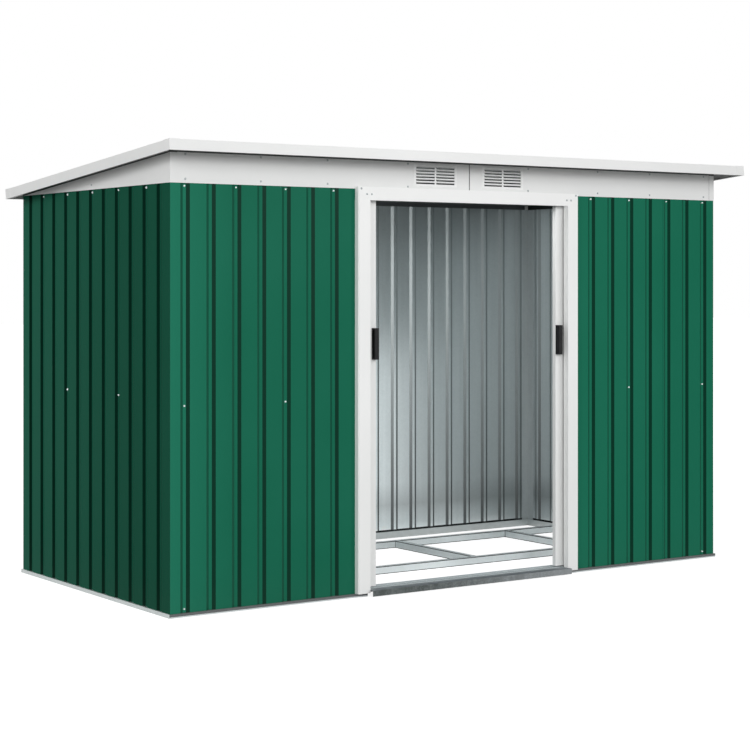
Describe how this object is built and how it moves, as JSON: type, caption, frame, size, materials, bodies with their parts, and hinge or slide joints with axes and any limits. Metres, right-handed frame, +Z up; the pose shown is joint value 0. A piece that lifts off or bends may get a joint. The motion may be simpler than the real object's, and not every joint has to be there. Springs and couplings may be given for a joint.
{
  "type": "metal storage shed",
  "caption": "Pent-roof metal garden shed with ribbed sheet walls, louvred fascia, sliding doors and an open steel floor frame.",
  "frame": {"origin": "on the ground, under the middle of the roof's outline", "axes": "+X along the front to the viewer's right, +Y from the front to the back, +Z up"},
  "size_m": [2.77, 1.344, 1.6546],
  "materials": {
    "green_sheet": "satin green paint outside, bare galvanised inside",
    "white_sheet": "satin white paint",
    "galvanised": "galvanised steel",
    "black_plastic": "matt moulded plastic"
  },
  "bodies": {
    "shed": {"back_wall": "green_sheet", "base_rail_back": "galvanised", "base_rail_front_left": "galvanised", "base_rail_front_right": "galvanised", "base_rail_left": "galvanised", "base_rail_right": "galvanised", "corner_post_back_left": "galvanised", "corner_post_back_right": "galvanised", "corner_post_front_left": "galvanised", "corner_post_front_right": "galvanised", "door_header": "white_sheet", "door_post_left": "white_sheet", "door_post_right": "white_sheet", "door_threshold": "galvanised", "door_top_track": "galvanised", "fascia_front_left": "white_sheet", "fascia_front_right": "white_sheet", "fascia_left": "white_sheet", "fascia_right": "white_sheet", "floor_beam_back": "galvanised", "floor_beam_front": "galvanised", "floor_joist_1": "galvanised", "floor_joist_2": "galvanised", "floor_joist_3": "galvanised", "floor_joist_4": "galvanised", "front_panel_left": "green_sheet", "front_panel_right": "green_sheet", "left_wall": "green_sheet", "right_wall": "green_sheet", "roof_cap_back_left": "white_sheet", "roof_cap_back_right": "white_sheet", "roof_cap_front_left": "white_sheet", "roof_cap_front_right": "white_sheet", "roof_purlin": "galvanised", "roof_rail_back": "galvanised", "roof_sheet": "white_sheet", "roof_trim_back": "white_sheet", "roof_trim_front": "white_sheet", "roof_trim_left": "white_sheet", "roof_trim_right": "white_sheet", "vent_left": "white_sheet", "vent_right": "white_sheet"},
    "left_door": {"left_door_frame": "white_sheet", "left_door_handle": "black_plastic", "left_door_infill": "green_sheet"},
    "right_door": {"right_door_frame": "white_sheet", "right_door_handle": "black_plastic", "right_door_infill": "green_sheet"}
  },
  "joints": [
    {"name": "left_door_slide", "type": "slide", "parent": "shed", "child": "left_door", "axis": [1, 0, 0], "range_m": [0, 0.4305]},
    {"name": "right_door_slide", "type": "slide", "parent": "shed", "child": "right_door", "axis": [-1, 0, 0], "range_m": [0, 0.4465]}
  ]
}
